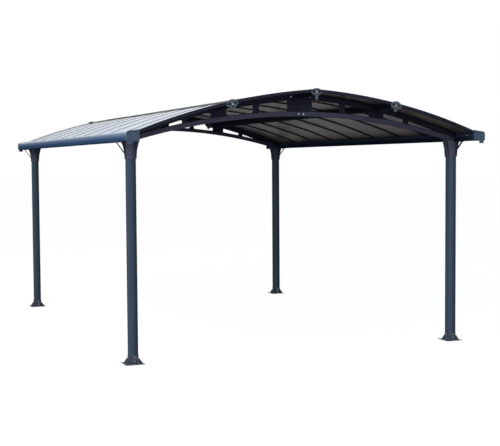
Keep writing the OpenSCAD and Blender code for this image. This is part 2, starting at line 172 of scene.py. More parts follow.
def start_group(name, takes, gives):
    """A shader node group, what it is given, and the node that gathers its results."""
    group = bpy.data.node_groups.new(name, "ShaderNodeTree")
    for label, kind, value in takes:
        socket = group.interface.new_socket(label, in_out="INPUT", socket_type=kind)
        if value is not None:
            socket.default_value = value
    for label, kind in gives:
        group.interface.new_socket(label, in_out="OUTPUT", socket_type=kind)
    given = group.nodes.new("NodeGroupInput").outputs
    return group, given, group.nodes.new("NodeGroupOutput")


def place(tree, group, values=None):
    """Places a node group in a material, with its own values, and hands back its outputs."""
    return add(tree, "ShaderNodeGroup", values, node_tree=group).outputs


print("helpers for materials ready")

# %% [markdown]
# ## Effects that several finishes share
# Powder coat is a plastic powder that melts onto the metal and sets with a
# faint orange-peel surface. Its colour drifts a little from profile to
# profile. Outdoors, fine dust settles on what faces up, and rain draws pale
# streaks down what stands upright. Each of these is a node group, so that
# every finish can use it with its own strength.

# %% Orange peel
peel, given, result = start_group(
    "orange_peel",
    [("Vector", VECTOR, None), ("Scale", FLOAT, 400.0), ("Wave", FLOAT, 40.0)],
    [("Height", FLOAT)])
fine = noise(peel, given["Vector"], given["Scale"], 2.0)
broad = noise(peel, given["Vector"], given["Wave"], 1.0)
fill(peel, result, {"Height": maths(peel, "MULTIPLY_ADD", fine, 0.35, broad)})
print("group", peel.name)

# %% Colour drift
drift, given, result = start_group(
    "colour_drift",
    [("Vector", VECTOR, None), ("Colour", COLOUR, None),
     ("Second", COLOUR, None), ("Scale", FLOAT, 1.3)],
    [("Colour", COLOUR)])
cloud = noise(drift, given["Vector"], given["Scale"], 4.0, 0.55)
spread = ranged(drift, cloud, 0.3, 0.7)
fill(drift, result, {"Colour": laid_over(drift, given["Colour"], given["Second"], spread)})
print("group", drift.name)

# %% Settled dust
dust, given, result = start_group(
    "settled_dust",
    [("Vector", VECTOR, None), ("Scale", FLOAT, 9.0), ("Amount", FLOAT, 0.4)],
    [("Mask", FLOAT)])
upward = ranged(dust, facing_of(dust)["Z"], 0.35, 1.0)
patches = noise(dust, given["Vector"], given["Scale"], 6.0, 0.65)
settled = maths(dust, "MULTIPLY", upward, ranged(dust, patches, 0.35, 0.75))
fill(dust, result, {"Mask": maths(dust, "MULTIPLY", settled, given["Amount"], clamp=True)})
print("group", dust.name)

# %% Rain streaks
streaks, given, result = start_group(
    "rain_streaks",
    [("Vector", VECTOR, None), ("Across", FLOAT, 90.0), ("Along", FLOAT, 1.6),
     ("Amount", FLOAT, 0.3)],
    [("Mask", FLOAT)])
stretch = add(streaks, "ShaderNodeCombineXYZ",
              {"X": given["Across"], "Y": given["Across"], "Z": given["Along"]})
scaled = add(streaks, "ShaderNodeVectorMath",
             {0: given["Vector"], 1: stretch.outputs["Vector"]}, operation="MULTIPLY")
lines = noise(streaks, scaled.outputs["Vector"], 1.0, 5.0, 0.6)
sharper = ranged(streaks, lines, 0.5, 0.8)
fill(streaks, result,
     {"Mask": maths(streaks, "MULTIPLY", sharper, given["Amount"], clamp=True)})
print("group", streaks.name)

# %% Which way a surface faces
facing_up, given, result = start_group(
    "facing_up", [("Low", FLOAT, -0.1), ("High", FLOAT, 0.1)], [("Mask", FLOAT)])
fill(facing_up, result,
     {"Mask": ranged(facing_up, facing_of(facing_up)["Z"], given["Low"], given["High"])})
print("group", facing_up.name)

# %% Painted shade on faces turned to the middle
# Painted shade: faces turned towards the middle, such as the gutters' inner walls, are darkened.
inner_shade, given, result = start_group(
    "inner_shade", [("Vector", VECTOR, None), ("Amount", FLOAT, 0.5)], [("Mask", FLOAT)])
side_of = maths(inner_shade, "SIGN", axes_of(inner_shade, given["Vector"])["X"])
agree = maths(inner_shade, "MULTIPLY", side_of, facing_of(inner_shade)["X"])
inner = ranged(inner_shade, agree, -0.15, -0.6)
fill(inner_shade, result,
     {"Mask": maths(inner_shade, "MULTIPLY", inner, given["Amount"], clamp=True)})
print("group", inner_shade.name)

# %% Height up a profile
height_ramp, given, result = start_group(
    "height_ramp",
    [("Vector", VECTOR, None), ("Low", FLOAT, 0.0), ("High", FLOAT, 1.0)],
    [("Mask", FLOAT)])
up_profile = axes_of(height_ramp, given["Vector"])["Z"]
fill(height_ramp, result,
     {"Mask": ranged(height_ramp, up_profile, given["Low"], given["High"],
                     interpolation_type="SMOOTHSTEP")})
print("group", height_ramp.name)

# %% Painted shade on one side of a post
# Painted shade: a post or head is darkened towards its +X side, less on faces that look along X.
side_shade, given, result = start_group(
    "side_shade",
    [("Vector", VECTOR, None), ("Middle", FLOAT, 1.67), ("From", FLOAT, -0.014),
     ("To", FLOAT, 0.037), ("Amount", FLOAT, 0.8)],
    [("Mask", FLOAT)])
across = axes_of(side_shade, given["Vector"])["X"]
side_of = maths(side_shade, "SIGN", across)
post_line = maths(side_shade, "MULTIPLY", side_of, given["Middle"])
off_line = maths(side_shade, "SUBTRACT", across, post_line)
shaded_part = ranged(side_shade, off_line, given["From"], given["To"],
                  interpolation_type="SMOOTHSTEP")
sideways = maths(side_shade, "ABSOLUTE", facing_of(side_shade)["X"])
facing_share = ranged(side_shade, sideways, 0.5, 1.0, 1.0, 0.4)
toned = maths(side_shade, "MULTIPLY", shaded_part, facing_share)
fill(side_shade, result,
     {"Mask": maths(side_shade, "MULTIPLY", toned, given["Amount"], clamp=True)})
print("group", side_shade.name)

# %% Shade in a recess
hollow_shade, given, result = start_group(
    "hollow_shade",
    [("Vector", VECTOR, None), ("Front", FLOAT, 2.508), ("Depth", FLOAT, 0.007)],
    [("Mask", FLOAT)])
from_middle = maths(hollow_shade, "ABSOLUTE", axes_of(hollow_shade, given["Vector"])["Y"])
behind = maths(hollow_shade, "SUBTRACT", given["Front"], from_middle)
fill(hollow_shade, result,
     {"Mask": maths(hollow_shade, "DIVIDE", behind, given["Depth"], clamp=True)})
print("group", hollow_shade.name)

# %% [markdown]
# ## Powder coat
# The frame is aluminium with a satin powder coat in a dark slate blue. A
# painted metal could be made with Metallic, but the coat hides the metal, so
# it is a plain dielectric here: a dark base colour that drifts, a satin
# roughness, the orange peel as a bump, dust on what faces up and streaks
# down what stands upright. What faces the sky mirrors it, while the sides
# mirror a darker garden. A coat layer whose weight follows the way that the
# surface faces gives that. The gutters' inner walls, turned to the middle,
# get a painted shade. The coat of a post or head gets a painted shade
# towards its +X side, and a gutter's rounded shoulder gets a painted
# highlight, a paler blue, while its foot keeps the coat's colour. Each part
# takes its own shade from one recipe: the upper chords, webs and purlins
# under the roof and the edge rafters take darker copies as painted shade,
# and the right-hand posts a lighter copy as painted light.

# %% Powder coat
# Colour of the painted shade on inner faces.
inner_shade_tone = (0.006, 0.006, 0.010)
# Colour of the painted shade on one side of a post.
side_shade_tone = (0.009, 0.013, 0.021)
full_sky = 0.7
dusty_roughness = 0.85


def powder_coat(name, colour, second, rough=0.45, sky=0.5, sky_from=0.05, dusty=0.2,
                streaky=0.08, inner_shade_amount=0.0, coat_ior=1.5, side_shade_amount=0.0,
                shoulder=None, dust_tone=(0.16, 0.17, 0.18)):
    """A powder coat; a shoulder is two heights and a paler colour, a painted highlight, laid on
    from the lower to the upper.
    """
    made, tree, shader, where = start_material(name)
    paint = place(tree, drift, {"Vector": where, "Colour": colour, "Second": second})["Colour"]
    # Painted highlight: a paler colour over the upper part of a rounded shoulder.
    if shoulder:
        low, high, highlight_tone = shoulder
        highlight_share = place(tree, height_ramp, {"Vector": where, "Low": low, "High": high})
        paint = laid_over(tree, paint, highlight_tone, highlight_share["Mask"])
    masks = {}
    # Streaks and dust are real marks; the inner and side masks lay on painted shade.
    for group, amount, tone in ((streaks, streaky, dust_tone), (dust, dusty, dust_tone),
                                (inner_shade, inner_shade_amount, inner_shade_tone),
                                (side_shade, side_shade_amount, side_shade_tone)):
        masks[group] = place(tree, group, {"Vector": where, "Amount": amount})["Mask"]
        paint = laid_over(tree, paint, tone, masks[group])
    up = place(tree, facing_up, {"Low": sky_from, "High": full_sky})["Mask"]
    peeled = place(tree, peel, {"Vector": where, "Scale": 420.0, "Wave": 45.0})["Height"]
    fill(tree, shader, {
        "Base Color": paint,
        "Roughness": ranged(tree, masks[dust], to_low=rough, to_high=dusty_roughness),
        "Specular IOR Level": 0.0,
        "Coat Weight": maths(tree, "MULTIPLY", up, sky, clamp=True),
        "Coat Roughness": 0.22,
        "Coat IOR": coat_ior,
        "Normal": bumped(tree, peeled, 0.25, 0.0004)})
    return made


# Posts and heads get a painted shade towards their +X side.
post_coat = powder_coat("post_coat", (0.036, 0.061, 0.096), (0.046, 0.073, 0.110),
                        rough=0.40, sky_from=-0.15, side_shade_amount=0.85)
# The right-hand posts take a lighter copy of the post coat, as painted light.
lit_right_post_coat = powder_coat("lit_right_post_coat", (0.043, 0.066, 0.106),
                              (0.054, 0.079, 0.120), rough=0.40, sky_from=-0.15,
                              side_shade_amount=0.8)
gutter_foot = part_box("left_gutter")[0].z
# The gutters' shoulder colour is a painted highlight, and their inner walls get a painted shade.
gutter_coat = powder_coat("gutter_coat", (0.026, 0.058, 0.132), (0.034, 0.070, 0.152),
                          sky=1.0, sky_from=0.0, dusty=0.3, inner_shade_amount=0.78, coat_ior=2.0,
                          shoulder=(gutter_foot + 0.022, gutter_foot + 0.070,
                                    (0.150, 0.210, 0.325)))
chord_coat = powder_coat("chord_coat", (0.052, 0.053, 0.083), (0.062, 0.064, 0.096),
                         sky=0.3, dusty=0.15)
# The upper chords, webs and purlins under the roof and the edge rafters take darker copies, as
# painted shade.
shaded_truss_coat = powder_coat("shaded_truss_coat", (0.018, 0.019, 0.033), (0.025, 0.026, 0.043),
                         sky=0.3, dusty=0.10)
shaded_purlin_coat = powder_coat("shaded_purlin_coat", (0.014, 0.016, 0.028), (0.019, 0.021, 0.035),
                          sky=0.4, dusty=0.12)
shaded_rafter_coat = powder_coat("shaded_rafter_coat", (0.013, 0.014, 0.023), (0.018, 0.020, 0.031),
                          sky=1.0, dusty=0.10)
bar_coat = powder_coat("bar_coat", (0.010, 0.012, 0.017), (0.014, 0.017, 0.023),
                       sky=0.7, dusty=0.10)
head_coat = powder_coat("head_coat", (0.066, 0.071, 0.110), (0.082, 0.088, 0.130),
                        sky=0.4, sky_from=-0.05, dusty=0.25, streaky=0.12, side_shade_amount=0.7)
foot_coat = powder_coat("foot_coat", (0.056, 0.068, 0.092), (0.072, 0.086, 0.114),
                        sky=0.7, sky_from=-0.05, dusty=0.40, streaky=0.18,
                        dust_tone=(0.24, 0.25, 0.26))
print("powder coats:", [material.name for material in bpy.data.materials])

# %% [markdown]
# ## Moulded plastic
# The end caps of the gutters and purlins are moulded in a dark plastic, a
# little glossier than the coat beside them. A mould leaves an even fine
# grain, and the colour is through and through, so there is no drift from
# profile to profile, only a slight fading. The deep hollows of a cap see no
# sky, so a painted shade darkens the colour with the depth behind its front.

# %% Moulded plastic
pale_dust = (0.30, 0.30, 0.29)
# Colour of the painted shade in a cap's hollows.
hollow_shade_tone = (0.002, 0.003, 0.004)


def moulded_plastic(name, colour, toned, rough=0.36, gloss=0.3, front=2.508):
    """A moulded plastic with a painted shade that darkens it behind the front of its piece."""
    made, tree, shader, where = start_material(name)
    base = place(tree, drift, {"Vector": where, "Colour": colour, "Second": toned,
                               "Scale": 6.0})["Colour"]
    grime = place(tree, dust, {"Vector": where, "Amount": 0.15, "Scale": 30.0})["Mask"]
    hollow = place(tree, hollow_shade, {"Vector": where, "Front": front})["Mask"]
    grain = place(tree, peel, {"Vector": where, "Scale": 900.0, "Wave": 120.0})["Height"]
    dusted = laid_over(tree, base, pale_dust, grime)
    fill(tree, shader, {
        "Base Color": laid_over(tree, dusted, hollow_shade_tone, hollow),
        "Roughness": ranged(tree, grime, to_low=rough, to_high=0.8),
        "Specular IOR Level": gloss,
        "Normal": bumped(tree, grain, 0.35, 0.0002)})
    return made


cap_plastic = moulded_plastic("cap_plastic", (0.045, 0.062, 0.085), (0.060, 0.080, 0.105))
gutter_cap_plastic = moulded_plastic("gutter_cap_plastic", (0.032, 0.055, 0.092),
                                     (0.045, 0.071, 0.113), rough=0.25, gloss=0.2,
                                     front=2.500)
print("plastics:", cap_plastic.name, gutter_cap_plastic.name)

# %% [markdown]
# ## Multiwall sheet
# The roof is twin-wall plastic sheet: two thin skins joined by ribs about
# eleven millimetres apart, which run down the slope. The outer skin has a
# glossy coat against sunlight, so at a low angle it mirrors the sky, while
# the inner skin is duller and shows the smoky tint. One material can hold
# both: the coat's weight follows the way that the surface faces. What faces
# up also takes a pale blue colour in place of the tint, a painted sky light.
# The ribs are narrow lines in the tint and a slight wave in the skins. Rain
# carries a thin film of dirt down to the eaves, where the sheets mirror the
# sky less.
# Soft patches of painted shade darken the sheet from below.

# %% Flutes of the sheet
flutes, given, result = start_group(
    "sheet_flutes",
    [("Vector", VECTOR, None), ("Pitch", FLOAT, 0.011), ("Line", FLOAT, 0.12)],
    [("Rib", FLOAT), ("Height", FLOAT)])
steps = maths(flutes, "DIVIDE", axes_of(flutes, given["Vector"])["Y"], given["Pitch"])
centred = maths(flutes, "SUBTRACT", maths(flutes, "FRACT", steps), 0.5)
beside = maths(flutes, "ABSOLUTE", centred)
fill(flutes, result, {"Rib": maths(flutes, "LESS_THAN", beside, given["Line"]),
                      "Height": maths(flutes, "POWER", beside, 2.0)})
print("group", flutes.name)

# %% Film along the eaves
eave_film, given, result = start_group(
    "eave_film",
    [("Vector", VECTOR, None), ("From", FLOAT, 0.8), ("To", FLOAT, 1.7),
     ("Amount", FLOAT, 0.55)],
    [("Mask", FLOAT)])
from_ridge = maths(eave_film, "ABSOLUTE", axes_of(eave_film, given["Vector"])["X"])
nearer = ranged(eave_film, from_ridge, given["From"], given["To"])
run_off = noise(eave_film, given["Vector"], 3.0, 4.0)
gathered = maths(eave_film, "MULTIPLY", nearer,
                 ranged(eave_film, run_off, 0.3, 0.65, to_low=0.45))
fill(eave_film, result,
     {"Mask": maths(eave_film, "MULTIPLY", gathered, given["Amount"], clamp=True)})
print("group", eave_film.name)

# %% Multiwall sheet
patch_stretch = (0.7, 1.7, 1.0)
# Colour of the patches of painted shade under the sheet.
patch_shade_tone = (0.009, 0.008, 0.009)
roof_dust = (0.50, 0.51, 0.52)
clean_mirror = 0.85
rib_darkness = 0.6


def multiwall_sheet(name, tint, deeper, sky_light_paint, clear_below=0.91, clear_above=0.96):
    """A tinted sheet that is glossy above, and lets more light through from below."""
    made, tree, shader, where = start_material(name)
    base = place(tree, drift, {"Vector": where, "Colour": tint, "Second": deeper,
                               "Scale": 1.4})["Colour"]
    ribs = place(tree, flutes, {"Vector": where})
    up = place(tree, facing_up)["Mask"]
    film = place(tree, dust, {"Vector": where, "Amount": 0.25, "Scale": 5.0})["Mask"]
    run_down = place(tree, eave_film, {"Vector": where})["Mask"]
    rib_tint = [value * rib_darkness for value in deeper]
    ribbed = laid_over(tree, base, rib_tint, ribs["Rib"])
    # Painted shade: soft patches darken the colour seen from below.
    downhill = add(tree, "ShaderNodeVectorMath", {0: where, 1: patch_stretch},
                   operation="MULTIPLY")
    shade_patches = noise(tree, downhill.outputs["Vector"], 1.5, 3.0)
    patch_shade = ranged(tree, shade_patches, 0.38, 0.56, to_high=0.85)
    from_below = laid_over(tree, ribbed, patch_shade_tone, patch_shade)
    # Painted sky light on what faces up, with real dust laid over it.
    from_above = laid_over(tree, sky_light_paint, roof_dust, film)
    below = ranged(tree, ribs["Rib"], to_low=clear_below)
    solid = add(tree, "ShaderNodeMix", {"Factor": up, "A": below, "B": clear_above},
                data_type="FLOAT")
    left_clear = maths(tree, "SUBTRACT", clean_mirror, run_down)
    fill(tree, shader, {
        "Base Color": laid_over(tree, from_below, from_above, up),
        "Roughness": 0.45,
        "Specular IOR Level": 0.05,
        "Alpha": solid.outputs["Result"],
        "Coat Weight": maths(tree, "MULTIPLY", up, left_clear, clamp=True),
        "Coat Roughness": 0.02,
        "Coat IOR": 2.2,
        "Normal": bumped(tree, ribs["Height"], 0.08, 0.0003)})
    return made


# The third colour is a painted sky light for what faces up.
roof_sheet = multiwall_sheet("roof_sheet", (0.130, 0.100, 0.088), (0.020, 0.016, 0.016),
                             (0.40, 0.50, 0.66))
print("sheet", roof_sheet.name)

# %% [markdown]
# ## Zinc and rubber
# The bolts and washers are steel with a thin bright zinc plating, which is a
# real metal surface: Metallic 1, a pale colour and small crystals that vary
# the shine. Near the ground it has gone dull and grey. The seals along the
# glazing bars are black rubber, matt and slightly dusty.

# %% Zinc
def zinc_plating(name, pale, dark):
    """A zinc plating whose crystals lie between two colours."""
    made, tree, shader, where = start_material(name)
    spangle = place(tree, drift, {"Vector": where, "Colour": pale, "Second": dark,
                                  "Scale": 160.0})["Colour"]
    shine = noise(tree, where, 300.0, 2.0)
    fill(tree, shader, {"Base Color": spangle, "Metallic": 1.0,
                        "Roughness": ranged(tree, shine, to_low=0.22, to_high=0.48)})
    return made


zinc = zinc_plating("zinc", (0.60, 0.62, 0.64), (0.42, 0.44, 0.46))
dull_zinc = zinc_plating("dull_zinc", (0.30, 0.33, 0.36), (0.17, 0.19, 0.22))
print("materials", zinc.name, dull_zinc.name)

# %% Rubber
rubber, tree, shader, where = start_material("rubber")
film = place(tree, dust, {"Vector": where, "Amount": 0.5, "Scale": 25.0})["Mask"]
dusted = laid_over(tree, (0.014, 0.014, 0.015), (0.22, 0.21, 0.20), film)
fill(tree, shader, {"Base Color": dusted, "Roughness": 0.7})
print("material", rubber.name)

# %% [markdown]
# ## Finishes on the frame's own parts
# The frame's shapes are right as they are, so most of them only change their
# material. Each part's name says what it is, so a short table from the end
# of the name to a finish covers all of them.

# %% Dress the frame
finishes = [
    ("_right_post", lit_right_post_coat), ("_post", post_coat),
    ("_foot", foot_coat), ("_head", head_coat),
    ("_gutter_cap", gutter_cap_plastic), ("_gutter", gutter_coat),
    ("_purlin_cap", cap_plastic), ("_ridge_cap", cap_plastic),
    ("_purlin", shaded_purlin_coat), ("_upper_chord", shaded_truss_coat),
    ("_lower_chord", chord_coat), ("_web", shaded_truss_coat), ("_splice", chord_coat),
    ("_edge_rafter", shaded_rafter_coat), ("_bars", bar_coat), ("_sheets", roof_sheet)]


def finish_of(name):
    """The finish of a part, from the end of its name."""
    return next(finish for ending, finish in finishes if name.endswith(ending))


for name, part in nodes.items():
    for material_slot in part.material_slots:
        material_slot.material = finish_of(name)
print("dressed", len(nodes), "parts")

# %% [markdown]
# ## Where the fittings go
# Every fitting sits on a face of the frame, so its place is read from the
# frame: the middle of a post, the front of a chord, the top of a foot. The
# roof is two arcs that meet at the ridge. Their centre follows from three
# sizes, and then the height and the slope are known everywhere across the
# roof, which is what the caps and seals need. Two places count as the same
# when they are less than half a millimetre apart.

# %% Places on the frame
def middle(name):
    """The middle of a part's box."""
    low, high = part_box(name)
    return (low + high) / 2


corners = [middle(name) for name in nodes if name.endswith("_post")]
post_low, post_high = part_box("near_right_post")
post_half = (post_high.x - post_low.x) / 2
plate = 0.004
seat = 0.0002
close = 0.0005
plate_face = post_half + seat + plate
head_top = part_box("near_right_head")[1].z
print("posts at", [tuple(round(v, 3) for v in corner[:2]) for corner in corners])

# %% Roof line
eave_x = 1.700
ridge_point = Vector((0.0, 2.468))
eave_point = Vector((eave_x, 2.092))
roof_radius = 5.800
purlin_x = middle("right_purlin").x

span = eave_point - ridge_point
drop = math.sqrt(roof_radius ** 2 - span.length_squared / 4)
roof_centre = (ridge_point + eave_point) / 2 + drop * Vector((span.y, -span.x)) / span.length


def roof_angle(x):
    """Angle about the roof's centre of a place across the right half."""
    return math.acos((x - roof_centre.x) / roof_radius)


def roof_point(x, y=0.0):
    """A point on the roof line, on either half."""
    height = roof_centre.y + roof_radius * math.sin(roof_angle(abs(x)))
    return Vector((x, y, height))


def roof_normal(x):
    """The way that the roof faces there; at the ridge it faces straight up."""
    if abs(x) < 2 * close:
        return Vector((0.0, 0.0, 1.0))
    angle = roof_angle(abs(x))
    return Vector((math.copysign(math.cos(angle), x), 0.0, math.sin(angle)))


print("roof centre", [round(v, 4) for v in roof_centre])

# %% [markdown]
# ## Turning a shape into a piece
# A piece of the model is a mesh whose object stays at the origin and rides
# on the frame's body. One helper does this for every shape that follows.

# %% Finish a piece
def as_piece(shape, name, finish):
    """Makes a closed bmesh a piece of the model, with its finish."""
    mesh = bpy.data.meshes.new(name)
    shape.to_mesh(mesh)
    shape.free()
    mesh.materials.append(finish)
    piece = bpy.data.objects.new(name, mesh)
    bpy.context.scene.collection.objects.link(piece)
    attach(piece, "root")
    return piece


# %% [markdown]
# ## Softened edges
# Pressed and moulded parts have slightly rounded edges, and the thin bright
# line along such an edge is what makes a part look real. The frame's meshes
# are loose triangles, so a copy is merged and its flat faces are joined
# again before a Bevel modifier rounds the sharp edges. The copy then stands
# in for the frame's own part.

# %% Soften a part
pressed_edge = 0.0008
moulded_edge = 0.0015
dome_edge = 0.0012


def merged_copy(name):
    """A part's mesh with its triangles joined into whole faces again."""
    shape = bmesh.new()
    shape.from_mesh(nodes[name].data)
    bmesh.ops.remove_doubles(shape, verts=shape.verts, dist=0.00001)
    bmesh.ops.dissolve_limit(shape, angle_limit=math.radians(1.0),
                             verts=shape.verts, edges=shape.edges)
    return shape


def soften(piece, radius):
    """Rounds a piece's sharp edges."""
    rounding = piece.modifiers.new("rounding", "BEVEL")
    rounding.width = radius
    rounding.segments = 2
    rounding.limit_method = "ANGLE"
    rounding.angle_limit = math.radians(40.0)


def softened(shape, name, radius):
    """Rounds a shape and lets it stand in for the frame's part of that name."""
    piece = as_piece(shape, "soft_" + name, finish_of(name))
    soften(piece, radius)
    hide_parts(name)


for name in list(nodes):
    if name.endswith(("_foot", "_splice")):
        softened(merged_copy(name), name, pressed_edge)
    if name.endswith("_gutter_cap"):
        softened(merged_copy(name), name, moulded_edge)
print("softened feet, splices and gutter caps")

# %% [markdown]
# ## Post heads and truss ends
# The lower chord is an arc, so it lifts away from a flat post head towards
# the middle of the span. A real head is pressed to follow it. A cut over the
# post gives the copy an edge to bend at, and then its inner top corners are
# raised to the chord. Beyond the web's end the two chords run together, and
# there they are welded. The weld fills the last thin wedge: a strip of faces
# is laid between the two arcs and then given its thickness.

# %% Arcs of the truss
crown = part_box("near_truss_lower_chord")[1].z
chord_depth = 0.042
upper_underside = 0.0582
post_x = abs(corners[0].x)
truss_y = abs(corners[0].y)
chord_seat = head_top + seat
tie_rise = crown - chord_depth - chord_seat
tie_radius = (post_x ** 2 + tie_rise ** 2) / (2 * tie_rise)


def tie_height(x, lift=0.0):
    """Height of the lower chord's arc, lifted from its underside."""
    return crown - chord_depth - tie_radius + math.sqrt((tie_radius + lift) ** 2 - x * x)


def under_chord(x):
    """Height of the upper chord's underside."""
    radius = roof_radius - upper_underside
    return roof_centre.y + math.sqrt(radius ** 2 - (x - roof_centre.x) ** 2)


print("lower chord rises", round(tie_rise, 4), "over", round(post_x, 3))

# %% Heads
def followed_head(name):
    """A head's copy whose inner top corners follow the chord."""
    shape = merged_copy(name)
    bmesh.ops.bisect_plane(shape, geom=[*shape.verts, *shape.edges, *shape.faces],
                           plane_co=(math.copysign(post_x, middle(name).x), 0, 0),
                           plane_no=(1, 0, 0))
    for vert in shape.verts:
        if vert.co.z > head_top - plate - close and abs(vert.co.x) < post_x - 2 * close:
            rise = tie_height(abs(vert.co.x)) - chord_seat
            bmesh.ops.translate(shape, vec=(0, 0, rise), verts=[vert])
    return shape


for name in list(nodes):
    if name.endswith("_head"):
        softened(followed_head(name), name, pressed_edge)
print("heads follow the chord")

# %% Welds at the truss ends
weld_t = 0.008
weld_steps = 8
widest_gap, narrowest_gap = 0.0125, 0.0006
melted_in = 0.0004
stride = 0.0005
weld_from, weld_to = 1.50, 1.69


def gap_at(x):
    """How far the two chords stand apart."""
    return under_chord(x) - tie_height(x, chord_depth)


while gap_at(weld_from) > widest_gap:
    weld_from += stride
while gap_at(weld_to) < narrowest_gap:
    weld_to -= stride


def weld(shape, side, way):
    """The wedge between the chords at one end of one truss."""
    made = bmesh.ops.create_grid(shape, x_segments=weld_steps, y_segments=1, size=0.5)
    for vert in made["verts"]:
        x = weld_from + (vert.co.x + 0.5) * (weld_to - weld_from)
        z = (under_chord(x) + melted_in if vert.co.y > 0
             else tie_height(x, chord_depth) - melted_in)
        vert.co = (side * x, way * truss_y - weld_t / 2, z)
    faces = list(dict.fromkeys(face for vert in made["verts"] for face in vert.link_faces))
    raised = bmesh.ops.extrude_face_region(shape, geom=faces, use_keep_orig=True)
    moved = [item for item in raised["geom"] if isinstance(item, bmesh.types.BMVert)]
    bmesh.ops.translate(shape, vec=(0, weld_t, 0), verts=moved)


welds = bmesh.new()
for side in (-1, 1):
    for way in (-1, 1):
        weld(welds, side, way)
bmesh.ops.recalc_face_normals(welds, faces=welds.faces)
as_piece(welds, "truss_end_welds", shaded_truss_coat)
print("welds from", round(weld_from, 3), "to", round(weld_to, 3))

# %% [markdown]
# ## Purlin caps
# The cap on a purlin's end is a moulded dome over two struts that meet in a
# stem, with deep hollows between them and a bolt in the middle. The frame's
# cap has the right parts, but a mould maker gives it a broader brim and
# deeper hollows. So the copy is stretched about its boss, across the roof and
# square to it, and the floors of its hollows are pushed back.

# %% Purlin caps
hub_depth = 0.026
cap_front = 2.508
hollow_depth = 0.005
hollow_floor = cap_front - hollow_depth
corner_slack = 0.0006


def cap_hub(x):
    """The middle of a purlin cap's boss."""
    return roof_point(x) - hub_depth * roof_normal(x)


def stretched(x, across, up):
    """A stretch about a cap's boss, along and square to the roof."""
    lean = Vector((0.0, 0.0, 1.0)).rotation_difference(roof_normal(x)).to_matrix().to_4x4()
    there = Matrix.Translation(cap_hub(x)) @ lean
    return there @ Matrix.Diagonal((across, 1.0, up, 1.0)) @ there.inverted()


# Corners of a cap's hollows, across and up from its boss, and where they go
hollow_corners = [((0.016, 0.020), (0.0145, 0.0275)), ((0.038, 0.008), (0.0400, 0.0150)),
                  ((0.038, 0.002), (0.0405, 0.0010)), ((0.015, -0.008), (0.0140, -0.0100))]


def widen_hollows(shape, hub, normal):
    """Moves the corners of the hollows beside the boss outwards."""
    along = Vector((normal.z, 0.0, -normal.x))
    for vert in shape.verts:
        arm = vert.co - hub
        across, up = arm.dot(along), arm.dot(normal)
        for (old_across, old_up), (new_across, new_up) in hollow_corners:
            if (abs(abs(across) - old_across) < corner_slack
                    and abs(up - old_up) < corner_slack):
                step = (new_across - old_across) * math.copysign(1.0, across)
                vert.co += along * step + normal * (new_up - old_up)
                break


def purlin_cap(name, across, up):
    """A cap with hollows twice as deep, stretched across the roof and up."""
    x = 0.0 if "ridge" in name else math.copysign(purlin_x, middle(name).x)
    shape = merged_copy(name)
    floors = [vert for vert in shape.verts if abs(abs(vert.co.y) - hollow_floor) < close]
    inwards = -math.copysign(hollow_depth, floors[0].co.y)
    bmesh.ops.translate(shape, vec=(0.0, inwards, 0.0), verts=floors)
    widen_hollows(shape, cap_hub(x), roof_normal(x))
    bmesh.ops.transform(shape, matrix=stretched(x, across, up), verts=shape.verts)
    piece = as_piece(shape, "moulded_" + name, cap_plastic)
    soften(piece, dome_edge)
    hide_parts(name)


broader = {"ridge_cap": (1.18, 1.0), "left_purlin_cap": (1.26, 1.16),
           "right_purlin_cap": (1.26, 1.16)}
for end in ("near", "far"):
    for kind, (across, up) in broader.items():
        purlin_cap(f"{end}_{kind}", across, up)
print("caps made broader:", 2 * len(broader))

# %% [markdown]
# ## Bolts
# A kit like this is held by dozens of zinc-plated bolts. Each shows a thin
# washer and a hexagon head with its top edge chamfered. One pattern of a few
# dozen faces is made for each size and copied to every place, turned so
# that it stands on the face it clamps. No two heads stop at the same angle.
# The bolts of the post heads and the screws of the gutter caps are coloured
# like the part that they hold. A bolt's size is given as four numbers: across
# the flats, the head's height, the washer's radius and its thickness.

# %% A bolt
washer_taper = 0.97
chamfer = 0.08
turn_between = 0.7


def bolt_pattern(across_flats, head, washer, thickness):
    """A washer and a hexagon head that stand on the plane z = 0."""
    shape = bmesh.new()
    bmesh.ops.create_cone(shape, cap_ends=True, segments=20, radius1=washer,
                          radius2=washer * washer_taper, depth=thickness,
                          matrix=Matrix.Translation((0, 0, thickness / 2)))
    corner = across_flats / math.sqrt(3.0)
    made = bmesh.ops.create_cone(shape, cap_ends=True, segments=6, radius1=corner,
                                 radius2=corner, depth=head,
                                 matrix=Matrix.Translation((0, 0, thickness + head / 2)))
    top = {vert for vert in made["verts"] if vert.co.z > thickness + head / 2}
    rim = [edge for edge in shape.edges if set(edge.verts) <= top]
    bmesh.ops.bevel(shape, geom=rim, offset=across_flats * chamfer,
                    offset_type="OFFSET", affect="EDGES", segments=2, profile=0.5, material=-1)
    return shape


def fasten(name, size, places, finish=zinc):
    """One piece with a bolt of one size at every (point, outwards)."""
    pattern = bolt_pattern(*size)
    single = bpy.data.meshes.new(name + "_single")
    pattern.to_mesh(single)
    pattern.free()
    whole = bmesh.new()
    for count, (point, outwards) in enumerate(places):
        known = len(whole.verts)
        whole.from_mesh(single)
        whole.verts.ensure_lookup_table()
        stand = Vector(outwards).to_track_quat("Z", "Y").to_matrix().to_4x4()
        stopped_at = Matrix.Rotation(turn_between * count, 4, "Z")
        bmesh.ops.transform(whole, matrix=Matrix.Translation(point) @ stand @ stopped_at,
                            verts=whole.verts[known:])
    bpy.data.meshes.remove(single)
    as_piece(whole, name, finish)
    print(name, len(places))


SIDES = [Vector((1, 0, 0)), Vector((-1, 0, 0)), Vector((0, 1, 0)), Vector((0, -1, 0))]
UP = Vector((0, 0, 1))

